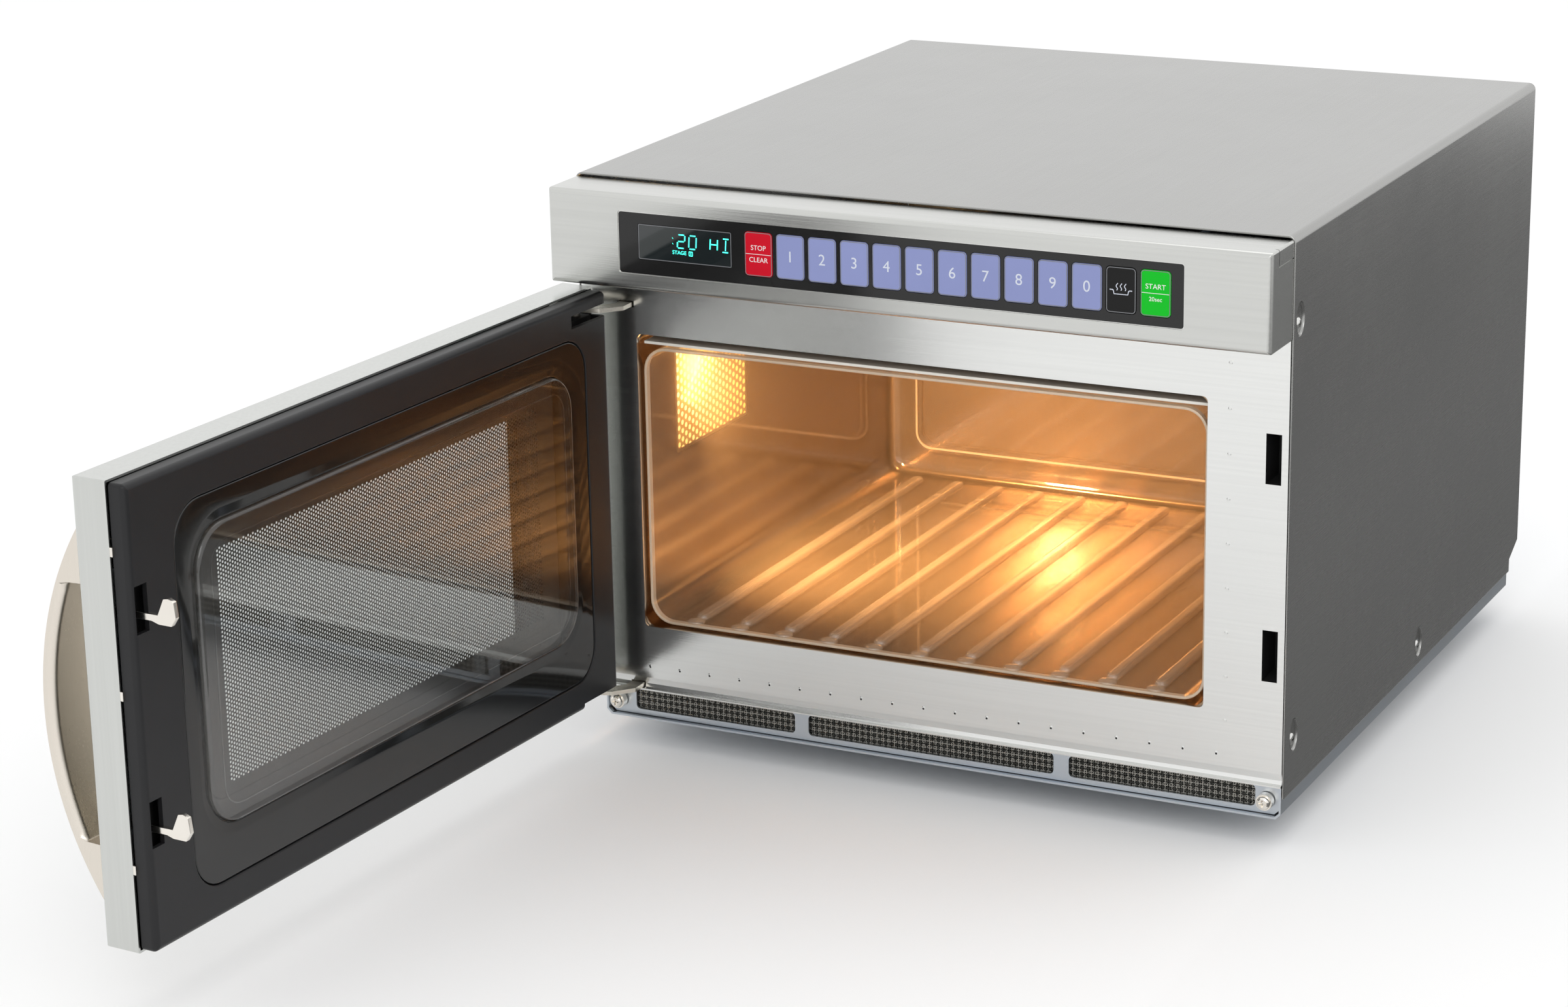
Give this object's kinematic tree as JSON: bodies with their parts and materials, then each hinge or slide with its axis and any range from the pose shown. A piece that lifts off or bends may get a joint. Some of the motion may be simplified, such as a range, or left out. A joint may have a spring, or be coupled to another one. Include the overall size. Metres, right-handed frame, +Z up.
{
  "type": "microwave oven",
  "caption": "Compact commercial microwave oven in brushed steel with a side-hinged glass door standing open, a key panel above the cavity and an air filter below.",
  "frame": {"origin": "bottom centre of the whole oven as it stands on its feet with the door open, on the surface under the feet", "axes": "+Z up, +Y towards the back of the oven, +X to the right of a user facing the door"},
  "size_m": [0.4841, 0.8745, 0.337],
  "materials": {
    "cabinet_steel": "brushed satin stainless",
    "front_steel": "brushed satin stainless",
    "bezel_steel": "brushed satin stainless",
    "zinc_steel": "zinc plated sheet",
    "hinge_steel": "plated",
    "cavity_steel": "satin stainless",
    "clear_liner": "clear moulded polymer",
    "white_plastic": "satin",
    "bulb_glass": "clear",
    "ceramic": "unglazed",
    "transformer_iron": "varnished",
    "black_plastic": "moulded",
    "circuit_board": "solder mask",
    "filter_mesh": "woven wire",
    "nickel": "bright nickel",
    "foot_rubber": "matte",
    "black_cover": "satin",
    "black_gloss": "high gloss",
    "window_glass": "clear",
    "dark_screen": "perforated, satin black",
    "handle_metal": "satin champagne",
    "fascia_black": "high gloss",
    "display_glass": "gloss, lit blue-green digits",
    "key_red": "gloss",
    "key_green": "gloss",
    "key_blue": "gloss",
    "key_black": "gloss"
  },
  "bodies": {
    "oven": {"base_pan": "zinc_steel", "cabinet_cover": "cabinet_steel", "rear_panel": "zinc_steel", "front_plate": "front_steel", "control_bezel": "bezel_steel", "control_panel": "fascia_black", "display_module": "display_glass", "control_board": "circuit_board", "cavity_box": "cavity_steel", "ceiling_plate": "white_plastic", "lamp_screen": "cavity_steel", "lamp_bulb": "bulb_glass", "lamp_socket": "ceramic", "stirrer_motor": "white_plastic", "waveguide": "zinc_steel", "magnetron": "zinc_steel", "power_transformer": "transformer_iron", "capacitor": "zinc_steel", "blower_housing": "black_plastic", "blower_motor": "zinc_steel", "cord_gland": "black_plastic", "latch_receiver": "black_plastic", "hinge_arm_upper": "hinge_steel", "hinge_arm_lower": "hinge_steel", "foot_front_left": "foot_rubber", "foot_front_right": "foot_rubber", "foot_rear_left": "foot_rubber", "foot_rear_right": "foot_rubber"},
    "door": {"door_skin": "front_steel", "door_outer_glass": "window_glass", "door_frame": "zinc_steel", "door_screen": "dark_screen", "door_inner_cover": "black_cover", "door_window_frame": "black_gloss", "door_window_glass": "window_glass", "door_handle": "handle_metal"},
    "latch": {"latch_bar": "zinc_steel", "latch_hook_lower": "nickel", "latch_hook_upper": "nickel", "latch_spring": "nickel"},
    "liner": {"cavity_liner": "clear_liner"},
    "filter": {"air_filter_frame": "zinc_steel", "air_filter_mesh": "filter_mesh"},
    "left_screw": {"thumb_screw_left": "nickel"},
    "right_screw": {"thumb_screw_right": "nickel"},
    "wheel": {"blower_wheel": "black_plastic"},
    "stirrer": {"stirrer": "cavity_steel"},
    "button_stop": {"key_stop": "key_red"},
    "button_1": {"key_1": "key_blue"},
    "button_2": {"key_2": "key_blue"},
    "button_3": {"key_3": "key_blue"},
    "button_4": {"key_4": "key_blue"},
    "button_5": {"key_5": "key_blue"},
    "button_6": {"key_6": "key_blue"},
    "button_7": {"key_7": "key_blue"},
    "button_8": {"key_8": "key_blue"},
    "button_9": {"key_9": "key_blue"},
    "button_0": {"key_0": "key_blue"},
    "button_heat": {"key_heat": "key_black"},
    "button_start": {"key_start": "key_green"}
  },
  "joints": [
    {"name": "door_hinge", "type": "hinge", "parent": "oven", "child": "door", "pos_m": [-0.172, -0.025, 0.156], "axis": [0, 0, -1], "range_deg": [-93.5, 18]},
    {"name": "latch_lift", "type": "slide", "parent": "door", "child": "latch", "axis": [0, 0, 1], "range_m": [0, 0.004], "stiffness_N_per_m": 900, "springref_m": -0.004, "deforming": ["latch_spring"]},
    {"name": "liner_slide", "type": "slide", "parent": "oven", "child": "liner", "axis": [0, -1, 0], "range_m": [0, 0.3]},
    {"name": "filter_slide", "type": "slide", "parent": "oven", "child": "filter", "axis": [0, -1, 0], "range_m": [0, 0.06]},
    {"name": "left_screw_turn", "type": "hinge", "parent": "filter", "child": "left_screw", "pos_m": [-0.163, 0, 0.0265], "axis": [0, -1, 0], "continuous": true},
    {"name": "right_screw_turn", "type": "hinge", "parent": "filter", "child": "right_screw", "pos_m": [0.2315, 0, 0.0265], "axis": [0, -1, 0], "continuous": true},
    {"name": "blower_spin", "type": "hinge", "parent": "oven", "child": "wheel", "pos_m": [0.171, 0.383, 0.189], "axis": [1, 0, 0], "continuous": true},
    {"name": "stirrer_spin", "type": "hinge", "parent": "oven", "child": "stirrer", "pos_m": [0.025, 0.165, 0.244], "axis": [0, 0, 1], "continuous": true},
    {"name": "key_stop_press", "type": "slide", "parent": "oven", "child": "button_stop", "axis": [0, 1, 0], "range_m": [0, 0.0005], "stiffness_N_per_m": 2000},
    {"name": "key_1_press", "type": "slide", "parent": "oven", "child": "button_1", "axis": [0, 1, 0], "range_m": [0, 0.0005], "stiffness_N_per_m": 2000},
    {"name": "key_2_press", "type": "slide", "parent": "oven", "child": "button_2", "axis": [0, 1, 0], "range_m": [0, 0.0005], "stiffness_N_per_m": 2000},
    {"name": "key_3_press", "type": "slide", "parent": "oven", "child": "button_3", "axis": [0, 1, 0], "range_m": [0, 0.0005], "stiffness_N_per_m": 2000},
    {"name": "key_4_press", "type": "slide", "parent": "oven", "child": "button_4", "axis": [0, 1, 0], "range_m": [0, 0.0005], "stiffness_N_per_m": 2000},
    {"name": "key_5_press", "type": "slide", "parent": "oven", "child": "button_5", "axis": [0, 1, 0], "range_m": [0, 0.0005], "stiffness_N_per_m": 2000},
    {"name": "key_6_press", "type": "slide", "parent": "oven", "child": "button_6", "axis": [0, 1, 0], "range_m": [0, 0.0005], "stiffness_N_per_m": 2000},
    {"name": "key_7_press", "type": "slide", "parent": "oven", "child": "button_7", "axis": [0, 1, 0], "range_m": [0, 0.0005], "stiffness_N_per_m": 2000},
    {"name": "key_8_press", "type": "slide", "parent": "oven", "child": "button_8", "axis": [0, 1, 0], "range_m": [0, 0.0005], "stiffness_N_per_m": 2000},
    {"name": "key_9_press", "type": "slide", "parent": "oven", "child": "button_9", "axis": [0, 1, 0], "range_m": [0, 0.0005], "stiffness_N_per_m": 2000},
    {"name": "key_0_press", "type": "slide", "parent": "oven", "child": "button_0", "axis": [0, 1, 0], "range_m": [0, 0.0005], "stiffness_N_per_m": 2000},
    {"name": "key_heat_press", "type": "slide", "parent": "oven", "child": "button_heat", "axis": [0, 1, 0], "range_m": [0, 0.0005], "stiffness_N_per_m": 2000},
    {"name": "key_start_press", "type": "slide", "parent": "oven", "child": "button_start", "axis": [0, 1, 0], "range_m": [0, 0.0005], "stiffness_N_per_m": 2000}
  ]
}
